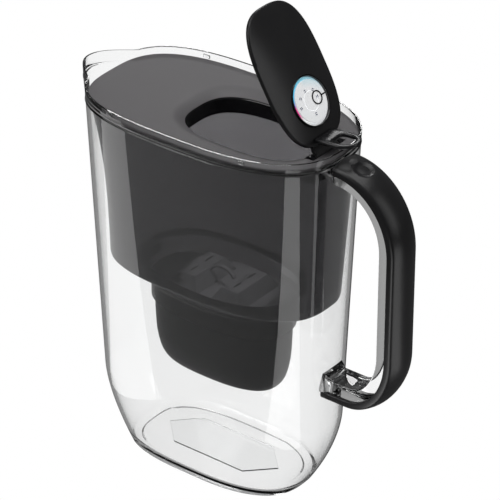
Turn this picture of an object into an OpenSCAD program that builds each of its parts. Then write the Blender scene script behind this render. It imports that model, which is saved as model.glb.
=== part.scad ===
// Water filter pitcher: a clear jug with a side handle, a lift-out funnel that
// carries a filter cartridge, and a lid whose filling hatch is a flip lid with a dial.
// +X runs to the handle, -X to the spout, and the jug stands on z = 0.

/* [Jug] */
// Height of the rim above the table
rim_h = 265; // [263:0.5:267]
// Half of the rim's length, without the spout
rim_a = 94.8; // [94:0.1:96]
// Half of the rim's width
rim_b = 54.4; // [54:0.1:55.5]
// Half of the base's length
base_a = 66.3; // [60:0.1:70]
// Half of the base's width
base_b = 38.2; // [35:0.1:41]
// How far each end draws in from the rim down to the belly
draft_a = 7.3; // [6:0.1:9]
// How far each side draws in from the rim down to the belly
draft_b = 9.8; // [8:0.1:10]
// Height where the walls start to curve in to the base
belly_z = 56; // [45:1:60]
// Thickness of the jug's wall
wall = 2.4; // [2:0.1:2.5]
// Thickness of the upright band at the rim
rim_t = 1.3; // [1:0.1:1.4]
// Depth of the funnel's ledge below the rim
ledge_d = 8.65; // [8:0.05:9]
// Thickness of the jug's floor
floor_t = 4.5; // [3:0.5:6]
// Squareness of the plan at the spout end
square_spout = 3.08; // [2.9:0.02:3.2]
// Squareness of the plan at the handle end
square_handle = 2.63; // [2.5:0.01:2.75]

/* [Spout] */
// How far the spout stands out from the rim
spout_l = 17.5; // [10:0.5:18]
// Half of the spout's width
spout_w = 25; // [20:1:30]
// Height where the spout starts to grow out of the wall
spout_z = 200; // [180:1:215]

/* [Handle] */
// Reach of the joint between clear grip and cover, from the jug's middle
grip_x = 137.7; // [136:0.5:142]
// Height of the joint at the top of the handle
grip_top = 251.9; // [250:0.1:252.5]
// Height of the joint at the bottom of the handle
grip_bottom = 89.9; // [85:0.5:95]
// Thickness of the clear grip inside the joint
grip_t = 8.2; // [6:0.2:10]
// Half of the clear grip's width
grip_w = 10; // [9:0.5:10]
// Half of the cover's width
cover_w = 13; // [12.6:0.1:14]
// Depth of the cover's side walls
cover_side = 4.6; // [4:0.1:5]
// Depth of the cover at its crown
cover_crown = 7.4; // [6.5:0.1:7.6]
// Radius of the thumb dimple's edge
dimple_r = 8; // [6:0.5:9]

/* [Funnel] */
// Height of the funnel's floor
funnel_z = 143; // [140:1:146]
// Thickness of the funnel's wall
funnel_t = 2; // [1.6:0.1:2.4]
// Half of the funnel's width at the floor
funnel_b = 44.6; // [43:0.2:45]
// Height of the collar's lower edge
collar_z = 115; // [110:1:120]
// Height of the cartridge's seat
seat_z = 129.6; // [128:0.2:130]

/* [Cartridge] */
// Half of the cartridge's length
cart_a = 51; // [50:0.1:51.2]
// Half of the cartridge's width
cart_b = 26.8; // [26:0.1:27]
// Height of the cartridge's lowest face
cart_z = 69; // [66:0.5:74]
// Height of the humps' tops
hump_z = 142; // [140:0.5:144]
// Thickness of the cartridge's wall
cart_t = 1.6; // [1.2:0.1:1.8]

/* [Lid] */
// Drop of the lid plate below the rim
plate_drop = 4.4; // [4.2:0.1:4.6]
// Thickness of the lid plate
plate_t = 2.1; // [2:0.05:2.2]
// Half of the filling opening's length
open_a = 47.25; // [47.2:0.05:48]
// Half of the filling opening's width
open_b = 30.2; // [30.2:0.1:31]
// Height of the collar's lower edge inside the opening
chute_z = 245.2; // [244.4:0.1:245.4]
// Depth of the lid's skirt below the rim
skirt_d = 12.5; // [11:0.5:13]

/* [Flip lid] */
// How far the flip lid stands open
open_angle = 59.1; // [0:0.1:70]
// Distance of the hinge from the jug's middle
hinge_x = 79.5; // [79.4:0.1:79.8]
// Height of the hinge
hinge_z = 258; // [257.9:0.1:258.2]
// Half of the flip lid's length
flip_a = 46.45; // [46:0.05:46.6]
// Half of the flip lid's width
flip_b = 29.6; // [29:0.1:29.7]
// Rise of the flip lid's dome
dome = 3.8; // [3:0.1:4.5]
// Radius of the hinge pin
pin_r = 1.5; // [1.4:0.05:1.6]
// Reach of the thumb lever from its root to its tip
lever_l = 23.1; // [20:0.5:26]
// Slope of the thumb lever with the flip lid closed
lever_angle = 63.8; // [60:0.5:68]

/* [Dial] */
// Radius of the dial's recess
dial_r = 16.6; // [16:0.1:17.4]
// Radius of the turning disc
disc_r = 13.8; // [12:0.1:14.2]
// Radius of the hub that the fingers turn
hub_r = 5.6; // [4.5:0.1:6]

/* [Hidden] */
$fn = 64;

plan_steps = 56;
oval_steps = 44;
lid_steps = 48;
big = 400;
squares = [square_spout, square_handle];

// Jug
ledge_z = rim_h - ledge_d;
bead = 0.35;
bead_h = 0.6;
rim_round = 0.5;
foot_w = 6;
foot_round = 1;
foot_up = 1.2;
belly_steps = 5;
belly_form = 1.66;
spout_steps = 4;
spout_rise = 55;
spout_form = 1.3;
panel_l = 92;
panel_w = 34;
panel_h = 0.8;
catch_w = 5;
catch_h = 2.2;
catch_t = 0.3;
catch_drop = 1.8;
catch_x = [-53, 51.4];

// Handle
arc_step = 10;
top_c = [96, 205];
bottom_c = [108, 130];
tuck = 2;
rib_top_x = 92.9;
rib_bottom_x = 87.4;
cover_top_x = 95.3;
cover_bottom_x = 88.9;
cover_fit = 0.2;
dimple_x = 111.9;
dimple_depth = 1.3;
root_w = 14;
root_rise = 12;
root_reach = 9;

// Funnel
floor_t2 = 2.2;
foot_in = 7.5;
floor_curve = 4;
funnel_a1 = 79;
funnel_a2 = 83.5;
funnel_top = ledge_z - 0.4;
mouth_gap = 0.6;
scoop = 3.2;
funnel_steps = 3;
flange_z = ledge_z + 0.3;
flange_t = 1.6;
flange_gap = 0.45;
seat_gap = 0.5;
collar_t = 1.5;
seat_ledge = 1.8;
basin_a = 62;
basin_b = 36.5;

// Cartridge
seal_t = 1;
seat_rest = seat_z + 0.3;
cap_z = seat_rest + seal_t;
cap_t = 1.5;
cap_a = cart_a + 1.6;
cap_b = cart_b + 2;
cart_in = [8.5, 5.5, 3.2, 1.2, 0.4];
cart_up = [0, 3, 9, 20, 36];
hump_x = 17.5;
hump_top = [13.5, 31];
hump_foot = [25, 43];
slot = [1.3, 7.5];
slot_y = 7.6;
pull_r = 11.4;
pull_z = 135.2;
pull_t = 1.4;
pull_w = 3;
pull_fit = 0.03;
screen_t = 0.8;
screen_gap = 0.2;
outlet = [2.4, 20];
outlet_pitch = 9;

// Lid
plate_z = rim_h - plate_drop;
plate_under = plate_z - plate_t;
plate_gap = 1.95;
plate_round = 0.5;
open_x = 26.45;
open_n = 2.9;
dish_out = [8.5, 5.8, 3.2, 1.3, 0.3];
dish_down = [0, 0.35, 1.4, 2.8, 4];
dish_thin = 0.62;
edge_t = 1.1;
frame_gap = 0.1;
frame_t = 1.5;
skirt_z = rim_h - skirt_d;
skirt_gap = 0.5;
well_x = [74.6, 83.6];
well_w = 17;
well_floor = 247;
well_wall = 1.5;
notch_w = 13.4;
lug_w = 3.2;
lug_r = 3.6;
lug_y = 12.4;
pin_fit = 0.02;
pin_run = 0.08;

// Flip lid
flip_x = hinge_x - 6.3 - flip_a;
flip_z = hinge_z + 3.5;
flip_skirt = 1.5;
flip_t = 1.8;
flip_shoulder = 1;
dome_steps = [0.9, 0.72, 0.48, 0.2];
base_in = 2.4;
base_t = 1.8;
base_z = flip_z - 2.8;
barrel_r = 3.3;
barrel_w = 12;
neck_w = 11;
neck_t = 2.8;
lever_w = 10;
lever_t = 2.8;
lever_root = [70.9, 266.9];
lever_dip = 3.6;
lever_hole = [13.5, 13];
lever_tip = 3.8;
lever_round = 5;

// Dial
dial_x = flip_x + flip_a - 27.2;
dial_top = flip_z + 4.6;
cup_t = 1.1;
cup_depth = 3.9;
cup_lip = 0.9;
scale_t = 0.8;
layer_gap = 0.15;
disc_t = 1.1;
disc_gap = 0.3;
hub_h = 0.5;
pointer_r = 4.6;
pointer_t = 0.9;
pointer_h = 0.35;
pointer_y = 5.9;
rivet_r = 1.3;
rivet_head = 2.6;
rivet_head_t = 0.7;

// A point of a rounded outline with squareness n, in the direction u
function unit(u, n) =
  [cos(u), sin(u)] / pow(pow(abs(cos(u)), n) + pow(abs(sin(u)), n), 1 / n);

// A closed ring at height z that reaches a1 towards -X, a2 towards +X and b sideways
function ring(a1, a2, b, z, n = squares, steps = plan_steps, x = 0) =
  [for (i = [0 : steps - 1])
    let (u = 360 * i / steps, back = cos(u) < 0, p = unit(u, back ? n[0] : n[1]))
    [x + p.x * (back ? a1 : a2), p.y * b, z]];

function clamp01(t) = max(0, min(1, t));
function smooth(t) = pow(clamp01(t), 2) * (3 - 2 * clamp01(t));
function lerp(a, b, t) = a + (b - a) * t;
function reversed(v) = [for (i = [len(v) - 1 : -1 : 0]) v[i]];

// Joins rings into one solid: capped at both ends, or closed on itself
module loft(rings, closed = false) {
  n = len(rings[0]);
  m = len(rings);
  last = closed ? m - 1 : m - 2;
  sides = [for (j = [0 : last], i = [0 : n - 1])
    let (k = (i + 1) % n, up = (j + 1) % m)
    each [[j * n + i, up * n + i, up * n + k], [j * n + i, up * n + k, j * n + k]]];
  caps = closed ? [] : [[for (i = [0 : n - 1]) i], [for (i = [n - 1 : -1 : 0]) (m - 1) * n + i]];
  polyhedron([for (r = rings) each r], concat(sides, caps));
}

// The jug's half-length and half-width at height z
function belly(z) = 1 - pow(1 - clamp01(z / belly_z), belly_form);
function jug_a(z) = z < belly_z
  ? lerp(base_a, rim_a - draft_a, belly(z))
  : lerp(rim_a - draft_a, rim_a, (z - belly_z) / (rim_h - belly_z));
function jug_b(z) = z < belly_z
  ? lerp(base_b, rim_b - draft_b, belly(z))
  : lerp(rim_b - draft_b, rim_b, (z - belly_z) / (rim_h - belly_z));

// How far the spout pushes a wall point out
function beak(p) = p.x < 0 && abs(p.y) < spout_w
  ? spout_l * smooth((p.z - spout_z) / spout_rise) * pow(1 - pow(p.y / spout_w, 2), spout_form)
  : 0;

function jug_ring(z, t = 0) =
  [for (p = ring(jug_a(z) - t, jug_a(z) - t, jug_b(z) - t, z)) p - [beak(p), 0, 0]];

belly_levels = [for (k = [1 : belly_steps]) belly_z * k / belly_steps];
spout_levels = [for (k = [0 : spout_steps]) lerp(spout_z, ledge_z - bead_h, k / spout_steps)];
inner_levels = [for (z = concat(belly_levels, spout_levels)) if (z > floor_t + wall) z];

module jug_shell() {
  foot = [
    ring(base_a - foot_w - foot_up, base_a - foot_w - foot_up, base_b - foot_w - foot_up, foot_up),
    ring(base_a - foot_w, base_a - foot_w, base_b - foot_w, 0),
    jug_ring(0, foot_round)];
  outside = [for (z = concat([foot_round], belly_levels, spout_levels)) jug_ring(z)];
  rim = [
    jug_ring(ledge_z, -bead),
    jug_ring(ledge_z + bead_h),
    jug_ring(rim_h - rim_round),
    jug_ring(rim_h, rim_round),
    jug_ring(rim_h, rim_t - rim_round / 2),
    jug_ring(rim_h - rim_round, rim_t),
    jug_ring(ledge_z, rim_t),
    jug_ring(ledge_z, wall)];
  inside = [for (z = reversed(inner_levels)) jug_ring(z, wall)];
  bottom = [jug_ring(floor_t + wall, wall), jug_ring(floor_t, wall * 2)];
  loft(concat(foot, outside, rim, inside, bottom));
}

// A point on the handle's joint line, moved out by off: an arc about c, at the angle t
function joint_r(c) = [grip_x - c.x, c == top_c ? grip_top - c.y : c.y - grip_bottom];
function arc_point(c, t, off) =
  let (r = joint_r(c), n = [cos(t) / r.x, sin(t) / r.y])
  c + [r.x * cos(t), r.y * sin(t)] + off * n / norm(n);
function joint_path(x_top, x_bottom, off) = concat(
  [[x_top, grip_top + off]],
  [for (t = [90 : -arc_step : 0]) arc_point(top_c, t, off)],
  [for (t = [0 : -arc_step : -90]) arc_point(bottom_c, t, off)],
  [[x_bottom, grip_bottom - off]]);

module side_plate(width) {
  rotate([90, 0, 0])
    linear_extrude(width, center = true)
      children();
}

module grip_rib() {
  side_plate(2 * grip_w)
    polygon(concat(
      joint_path(rib_top_x, rib_bottom_x, tuck),
      reversed(joint_path(rib_top_x, rib_bottom_x, -grip_t))));
}

// The clear web that spreads the grip's lower end onto the wall
module grip_root() {
  hull() {
    translate([rib_bottom_x, 0, grip_bottom])
      rotate([90, 0, 90])
        linear_extrude(wall / 2)
          polygon([[-root_w, 0], [root_w, 0], [root_w / 2, root_rise], [-root_w / 2, root_rise]]);
    translate([rib_bottom_x, -grip_w, grip_bottom])
      cube([root_reach, 2 * grip_w, grip_t]);
  }
}

// Small ribs inside the rim that keep the lid plate down
module rim_catches() {
  z = rim_h - catch_drop - catch_h;
  for (x = catch_x, side = [-1, 1])
    let (n = x < 0 ? square_spout : square_handle,
         inner = jug_b(z) - rim_t,
         y = inner * pow(1 - pow(abs(x) / (jug_a(z) - rim_t), n), 1 / n))
    translate([x - catch_w / 2, side > 0 ? y - catch_t : -y - rim_t / 2, z])
      cube([catch_w, rim_t / 2 + catch_t, catch_h]);
}

module floor_panel() {
  translate([0, 0, floor_t - panel_h])
    linear_extrude(2 * panel_h)
      polygon([[-panel_l / 2, 0], [-panel_l / 2 + panel_w / 2, -panel_w / 2],
               [panel_l / 2 - panel_w / 2, -panel_w / 2], [panel_l / 2, 0],
               [panel_l / 2 - panel_w / 2, panel_w / 2], [-panel_l / 2 + panel_w / 2, panel_w / 2]]);
}

module jug_body() {
  color([0.86, 0.9, 0.92, 0.35])
    union() {
      jug_shell();
      grip_rib();
      grip_root();
      floor_panel();
      rim_catches();
    }
}

// Depth of the cover's outer face across its width
function crown(y) = cover_side + (cover_crown - cover_side) * (1 - pow(abs(y) / cover_w, 2));
cover_outer_y = [1, 1, 0.94, 0.66, 0, -0.66, -0.94, -1, -1];
cover_inner_y = [1, 1, 0.9, 0.6, 0, -0.6, -0.9, -1, -1];
cover_points = len(cover_outer_y);
cover_outer = [for (i = [0 : cover_points - 1])
  let (y = cover_w * cover_outer_y[i], end = i == 0 || i == cover_points - 1)
  [end ? 0 : abs(cover_outer_y[i]) == 1 ? cover_side * 0.7 : crown(y), y]];
cover_inner = [for (i = [0 : cover_points - 1])
  let (y = (grip_w + cover_fit) * cover_inner_y[i], end = i == 0 || i == cover_points - 1)
  [end ? 0 : tuck + cover_fit, y]];

module cover_sweep() {
  base = joint_path(cover_top_x, cover_bottom_x, 0);
  lifted = joint_path(cover_top_x, cover_bottom_x, 1);
  section = concat(cover_outer, reversed(cover_inner));
  rings = [for (i = [0 : len(base) - 1])
    [for (s = section)
      let (p = base[i] + s[0] * (lifted[i] - base[i]))
      [p.x, s[1], p.y]]];
  n = len(section);
  m = len(rings);
  sides = [for (j = [0 : m - 2], i = [0 : n - 1])
    let (k = (i + 1) % n)
    each [[j * n + i, (j + 1) * n + i, (j + 1) * n + k], [j * n + i, (j + 1) * n + k, j * n + k]]];
  caps = [for (i = [0 : cover_points - 2])
    let (o = i, p = i + 1, q = n - 2 - i, r = n - 1 - i, end = (m - 1) * n)
    each [[o, p, q], [o, q, r], [end + o, end + q, end + p], [end + o, end + r, end + q]]];
  polyhedron([for (r = rings) each r], concat(sides, caps));
}

module handle_cover() {
  bowl_r = (pow(dimple_r, 2) + pow(dimple_depth, 2)) / (2 * dimple_depth);
  at = arc_point(top_c, acos((dimple_x - top_c.x) / (grip_x - top_c.x)), cover_crown);
  out = at - arc_point(top_c, acos((dimple_x - top_c.x) / (grip_x - top_c.x)), 0);
  centre = at + (bowl_r - dimple_depth) * out / norm(out);
  color([0.12, 0.12, 0.13])
    difference() {
      cover_sweep();
      translate([centre.x, 0, centre.y])
        sphere(bowl_r);
    }
}

// The funnel's outer half-lengths and half-width at height z
function up_wall(z) = clamp01((z - funnel_z) / (funnel_top - funnel_z));
function mouth_a() = jug_a(funnel_top) - wall - mouth_gap;
function mouth_b() = jug_b(funnel_top) - wall - mouth_gap;
function funnel_ring(z, t = 0) = ring(
  lerp(funnel_a1, mouth_a(), pow(up_wall(z), scoop)) - t,
  lerp(funnel_a2, mouth_a(), up_wall(z)) - t,
  lerp(funnel_b, mouth_b(), up_wall(z)) - t, z);
function oval(a, b, z) = ring(a, a, b, z, [2.5, 2.5]);

module funnel() {
  seat_a = cap_a + seat_gap;
  seat_b = cap_b + seat_gap;
  bore_a = cart_a + seat_gap;
  bore_b = cart_b + seat_gap;
  flange_a = jug_a(flange_z) - rim_t - flange_gap;
  flange_b = jug_b(flange_z) - rim_t - flange_gap;
  levels = [for (k = [0 : funnel_steps]) lerp(funnel_z + floor_curve, funnel_top, k / funnel_steps)];
  color([0.25, 0.25, 0.27, 0.6])
    loft(concat(
      [oval(bore_a, bore_b, collar_z),
       oval(bore_a + collar_t, bore_b + collar_t, collar_z),
       oval(bore_a + collar_t, bore_b + collar_t, seat_z - funnel_t),
       oval(seat_a + funnel_t, seat_b + funnel_t, seat_z),
       oval(seat_a + funnel_t, seat_b + funnel_t, funnel_z),
       funnel_ring(funnel_z, foot_in),
       funnel_ring(funnel_z + floor_curve / 4, foot_in / 4)],
      [for (z = levels) funnel_ring(z)],
      [funnel_ring(flange_z),
       ring(flange_a, flange_a, flange_b, flange_z),
       ring(flange_a, flange_a, flange_b, flange_z + flange_t),
       funnel_ring(flange_z + flange_t, funnel_t)],
      [for (z = reversed(levels)) funnel_ring(z, funnel_t)],
      [funnel_ring(funnel_z + floor_t2, foot_in),
       oval(basin_a, basin_b, funnel_z + floor_t2),
       oval(seat_a, seat_b, seat_z + seat_ledge * 2),
       oval(seat_a, seat_b, seat_z),
       oval(bore_a, bore_b, seat_z)]), closed = true);
}

// The cartridge's outline at height z, drawn in by t
function cart_ring(z, t, in = 0) =
  ring(cart_a - in - t, cart_a - in - t, cart_b - in - t, z, [2.5, 2.5], oval_steps);
cart_foot = [for (h = cart_up) max(h, cart_t)];
function cart_levels(t) = [for (i = [0 : len(cart_in) - 1])
  cart_ring(cart_z + max(t, cart_up[i]), t, cart_in[i])];

module cartridge_body() {
  color([0.13, 0.13, 0.14])
    difference() {
      loft(concat(
        cart_levels(0),
        [cart_ring(cap_z - layer_gap, 0), cart_ring(cap_z - layer_gap, cart_t)],
        reversed(cart_levels(cart_t))));
      for (k = [-3 : 3])
        translate([k * outlet_pitch - outlet[0] / 2, -outlet[1] / 2, cart_z - 1])
          cube([outlet[0], outlet[1], cart_t + 2]);
    }
}

module hump(size_top, size_foot, top, foot) {
  hull() {
    translate([-size_top[0] / 2, -size_top[1] / 2, top - 1])
      cube([size_top[0], size_top[1], 1]);
    translate([-size_foot[0] / 2, -size_foot[1] / 2, foot])
      cube([size_foot[0], size_foot[1], 1]);
  }
}

// The half ring of the pull, grown by fit for the sockets that hold its ends
module strap(fit) {
  r = pull_r + fit;
  translate([0, 0, pull_z])
    rotate([90, 0, 0])
      intersection() {
        linear_extrude(pull_w + 2 * fit, center = true)
          difference() {
            circle(r);
            circle(pull_r - pull_t - fit);
          }
        translate([-r, -fit, -pull_w])
          cube([2 * r, r + fit, 2 * pull_w]);
      }
}

module cartridge_cap() {
  skin = [2 * cap_t, 2 * cap_t];
  color([0.42, 0.42, 0.44])
    difference() {
      union() {
        loft([
          ring(cap_a, cap_a, cap_b, cap_z, [2.5, 2.5], oval_steps),
          ring(cap_a, cap_a, cap_b, cap_z + cap_t, [2.5, 2.5], oval_steps)]);
        for (side = [-1, 1])
          translate([side * hump_x, 0, 0])
            hump(hump_top, hump_foot, hump_z, cap_z);
      }
      for (side = [-1, 1])
        translate([side * hump_x, 0, 0]) {
          hump(hump_top - skin, hump_foot - skin, hump_z - cap_t, cap_z - 1);
          for (y = [-slot_y, slot_y])
            translate([-slot[0] / 2, y - slot[1] / 2, hump_z - 2 * cap_t])
              cube([slot[0], slot[1], 3 * cap_t]);
        }
      strap(pull_fit);
    }
}

module cartridge_pull() {
  color([0.36, 0.36, 0.38])
    strap(0);
}

module cartridge_seal() {
  color([0.2, 0.2, 0.2])
    loft([
      ring(cap_a - 1, cap_a - 1, cap_b - 1, seat_rest, [2.5, 2.5], oval_steps),
      ring(cap_a, cap_a, cap_b, seat_rest + seal_t / 2, [2.5, 2.5], oval_steps),
      ring(cap_a - 1, cap_a - 1, cap_b - 1, cap_z, [2.5, 2.5], oval_steps),
      cart_ring(cap_z, -screen_gap),
      cart_ring(seat_rest, -screen_gap)], closed = true);
}

bed_low = cart_z + cart_t + screen_gap;
bed_high = cap_z - 2 * cap_t;
function bed_ring(z) = cart_ring(z, cart_t + screen_gap,
  lookup(z - cart_z, [for (i = [0 : len(cart_in) - 1]) [cart_foot[i], cart_in[i]]]));

module filter_media() {
  low = bed_low + screen_t + screen_gap;
  high = bed_high - screen_t - screen_gap;
  color([0.18, 0.17, 0.16])
    loft([for (z = [low, cart_z + cart_up[2], cart_z + cart_up[3], cart_z + cart_up[4], high])
      bed_ring(z)]);
}

module top_screen() {
  color([0.92, 0.92, 0.9])
    loft([bed_ring(bed_high - screen_t), bed_ring(bed_high)]);
}

module bottom_screen() {
  color([0.92, 0.92, 0.9])
    loft([bed_ring(bed_low), bed_ring(bed_low + screen_t)]);
}

// The outline of the filling opening, grown by t
function hatch(t, z) = ring(open_a + t, open_a + t, open_b + t, z, [open_n, open_n], plan_steps, open_x);
function plate_ring(t, z) = ring(
  rim_a - plate_gap - t, rim_a - plate_gap - t, rim_b - plate_gap - t, z);

// The underside of the dish at its station i, lowered by t
function under_dish(i, t) = hatch(
  dish_out[i] + edge_t * i / (len(dish_out) - 1), plate_under - dish_down[i] * dish_thin - t);

// The space over the hinge, where plate and frame are cut away
module well(grow, low, high) {
  translate([0, 0, low])
    linear_extrude(high - low)
      translate([well_x[0] - grow, -well_w - grow])
        square([well_x[1] - well_x[0] + 2 * grow, 2 * (well_w + grow)]);
}

module neck_notch() {
  translate([open_x, -notch_w, hinge_z - 2])
    cube([well_x[0] - open_x + well_wall, 2 * notch_w, big]);
}

module lid_plate() {
  top = [for (i = [0 : len(dish_out) - 1]) hatch(dish_out[i], plate_z - dish_down[i])];
  under = [for (i = [0 : len(dish_out) - 1]) under_dish(i, 0)];
  color([0.3, 0.3, 0.31])
    difference() {
      loft(concat(
        [plate_ring(0, plate_under),
         plate_ring(0, plate_z - plate_round),
         plate_ring(plate_round, plate_z)],
        top, reversed(under)), closed = true);
      well(0, chute_z, big);
    }
}

module lug(side) {
  translate([0, side * (lug_y + lug_w / 2) + lug_w / 2, 0])
    rotate([90, 0, 0])
      linear_extrude(lug_w)
        difference() {
          union() {
            translate([hinge_x, hinge_z])
              circle(lug_r);
            translate([hinge_x - lug_r, well_floor - well_wall / 2])
              square([2 * lug_r, hinge_z - well_floor + well_wall / 2]);
          }
          translate([hinge_x, hinge_z])
            circle(pin_r + pin_fit);
        }
}

function skirt(t, z) = funnel_ring(z, funnel_t + skirt_gap + t);

module lid_frame() {
  web = plate_under - frame_gap;
  steps = [0, 2, len(dish_out) - 1];
  down = reversed(steps);
  throat = under_dish(down[0], frame_gap)[0].z;
  color([0.08, 0.08, 0.09])
    union() {
      difference() {
        union() {
          loft(concat(
            [skirt(0, skirt_z), skirt(0, web)],
            [for (i = steps) under_dish(i, frame_gap)],
            [hatch(0, throat),
             hatch(0, chute_z),
             hatch(frame_t, chute_z)],
            [for (i = down) under_dish(i, frame_gap + frame_t)],
            [skirt(frame_t, web - frame_t), skirt(frame_t, skirt_z)]), closed = true);
          difference() {
            well(well_wall, well_floor - well_wall, web - frame_t / 4);
            loft(concat(
              [hatch(frame_t / 2, chute_z - frame_t)],
              [for (i = down) under_dish(i, frame_gap + frame_t / 2)],
              [hatch(dish_out[0], hinge_z + 1)]));
          }
        }
        well(0, well_floor, big);
        neck_notch();
      }
      for (side = [-1, 1])
        lug(side);
    }
}

module hinge_pin() {
  color([0.55, 0.55, 0.57])
    translate([hinge_x, 0, hinge_z])
      rotate([90, 0, 0])
        cylinder(r = pin_r, h = 2 * (lug_y + lug_w), center = true);
}

// Everything on the flip lid is drawn closed and then swung open about the hinge
module swung_open() {
  translate([hinge_x, 0, hinge_z])
    rotate([0, open_angle, 0])
      translate([-hinge_x, 0, -hinge_z])
        children();
}

function flip_ring(k, t, z) =
  ring(k * (flip_a - t), k * (flip_a - t), k * (flip_b - t), z, [open_n, open_n], lid_steps, flip_x);
function dome_z(k) = flip_z + flip_shoulder + dome * (1 - pow(k, 2));

module flip_lid_shell() {
  outside = [for (k = dome_steps) flip_ring(k, 0, dome_z(k))];
  inside = [for (k = dome_steps) flip_ring(k, flip_t, dome_z(k) - flip_t)];
  color([0.1, 0.1, 0.11])
    swung_open()
      difference() {
        loft(concat(
          reversed(inside),
          [flip_ring(1, flip_t, flip_z),
           flip_ring(1, flip_t, flip_z - flip_skirt),
           flip_ring(1, 0, flip_z - flip_skirt),
           flip_ring(1, 0, flip_z),
           flip_ring(1, flip_shoulder / 2, flip_z + flip_shoulder)],
          outside));
        translate([dial_x, 0, flip_z - 1])
          cylinder(r = dial_r + layer_gap, h = big);
        translate([hinge_x - big / 2, -neck_w - 1, flip_z - flip_skirt - 1])
          cube([big, 2 * (neck_w + 1), 3]);
      }
}

module flip_lid_base() {
  color([0.14, 0.14, 0.15])
    swung_open()
      difference() {
        union() {
          loft([flip_ring(1, base_in, base_z), flip_ring(1, base_in, base_z + base_t)]);
          translate([hinge_x, 0, hinge_z])
            rotate([90, 0, 0])
              cylinder(r = barrel_r, h = 2 * barrel_w, center = true);
          translate([flip_x + flip_a - 2 * base_in, -neck_w, base_z])
            cube([hinge_x - flip_x - flip_a + 2 * base_in, 2 * neck_w, neck_t]);
        }
        translate([hinge_x, 0, hinge_z])
          rotate([90, 0, 0])
            cylinder(r = pin_r + pin_run, h = 3 * barrel_w, center = true);
      }
}

module thumb_lever() {
  color([0.1, 0.1, 0.11])
    swung_open()
      translate([lever_root.x, 0, lever_root.y])
        rotate([0, -lever_angle, 0])
          translate([0, 0, -lever_t / 2])
            linear_extrude(lever_t)
              difference() {
                union() {
                  translate([-lever_dip, -lever_w])
                    square([lever_l + lever_dip - lever_w, 2 * lever_w]);
                  translate([lever_l - lever_w, 0])
                    circle(lever_w);
                }
                translate([lever_l - lever_tip - lever_hole[1] / 2, 0])
                  circle(lever_hole[1] / 2);
                translate([lever_l - lever_tip - lever_hole[0], -lever_hole[1] / 2])
                  square([lever_hole[0] - lever_hole[1] / 2, lever_hole[1]]);
              }
}

module dial_cup() {
  color([0.08, 0.08, 0.09])
    swung_open()
      translate([dial_x, 0, dial_top - cup_depth])
        difference() {
          cylinder(r = dial_r, h = cup_depth);
          translate([0, 0, cup_t])
            cylinder(r = dial_r - cup_lip, h = cup_depth);
          translate([0, 0, -1])
            cylinder(r = rivet_r + pin_run, h = cup_depth);
        }
}

scale_z = dial_top - cup_depth + cup_t + layer_gap;
disc_z = scale_z + scale_t + disc_gap;

module dial_scale() {
  color([0.55, 0.8, 0.88])
    swung_open()
      translate([dial_x, 0, scale_z])
        difference() {
          cylinder(r = dial_r - cup_lip - layer_gap, h = scale_t);
          translate([0, 0, -1])
            cylinder(r = rivet_r + pin_run, h = scale_t + 2);
        }
}

module dial_disc() {
  color([0.95, 0.95, 0.94])
    swung_open()
      translate([dial_x, 0, disc_z])
        difference() {
          union() {
            cylinder(r = disc_r, h = disc_t);
            cylinder(r = hub_r, h = disc_t + hub_h);
          }
          translate([0, 0, -1])
            cylinder(r = rivet_r + pin_fit, h = disc_t);
          translate([0, pointer_y, disc_t])
            cylinder(r = pointer_r + layer_gap, h = 1);
        }
}

module dial_pointer() {
  color([0.05, 0.05, 0.05])
    swung_open()
      translate([dial_x, pointer_y, disc_z + disc_t])
        linear_extrude(pointer_h)
          difference() {
            union() {
              circle(pointer_r);
              translate([-pointer_t / 2, 0])
                square([pointer_t, disc_r - pointer_y - layer_gap]);
            }
            circle(pointer_r - pointer_t);
          }
}

module dial_rivet() {
  color([0.75, 0.75, 0.77])
    swung_open()
      translate([dial_x, 0, dial_top - cup_depth - disc_gap - rivet_head_t]) {
        cylinder(r = rivet_head, h = rivet_head_t);
        cylinder(r = rivet_r, h = disc_z + disc_t / 2 - dial_top + cup_depth + disc_gap);
      }
}

jug_body();
handle_cover();
funnel();
cartridge_body();
cartridge_cap();
cartridge_pull();
cartridge_seal();
filter_media();
top_screen();
bottom_screen();
lid_plate();
lid_frame();
hinge_pin();
flip_lid_shell();
flip_lid_base();
thumb_lever();
dial_cup();
dial_scale();
dial_disc();
dial_pointer();
dial_rivet();
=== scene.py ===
import math
import bpy
import bmesh
from mathutils import Matrix, Vector


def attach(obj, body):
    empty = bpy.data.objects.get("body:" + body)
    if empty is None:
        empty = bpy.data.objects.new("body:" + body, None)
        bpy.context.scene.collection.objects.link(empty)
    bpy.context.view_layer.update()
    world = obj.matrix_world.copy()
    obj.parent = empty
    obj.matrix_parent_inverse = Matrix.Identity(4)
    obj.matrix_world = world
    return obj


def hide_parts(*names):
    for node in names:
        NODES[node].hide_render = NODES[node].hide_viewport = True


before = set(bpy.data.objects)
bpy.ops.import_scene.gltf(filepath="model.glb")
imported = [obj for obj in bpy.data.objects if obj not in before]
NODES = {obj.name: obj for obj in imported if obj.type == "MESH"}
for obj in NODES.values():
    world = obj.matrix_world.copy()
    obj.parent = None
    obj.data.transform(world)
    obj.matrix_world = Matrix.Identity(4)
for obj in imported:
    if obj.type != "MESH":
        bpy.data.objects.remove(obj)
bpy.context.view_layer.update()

# Sizes in millimetres, the same as the construction's; A is half a length and B half a width

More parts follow.
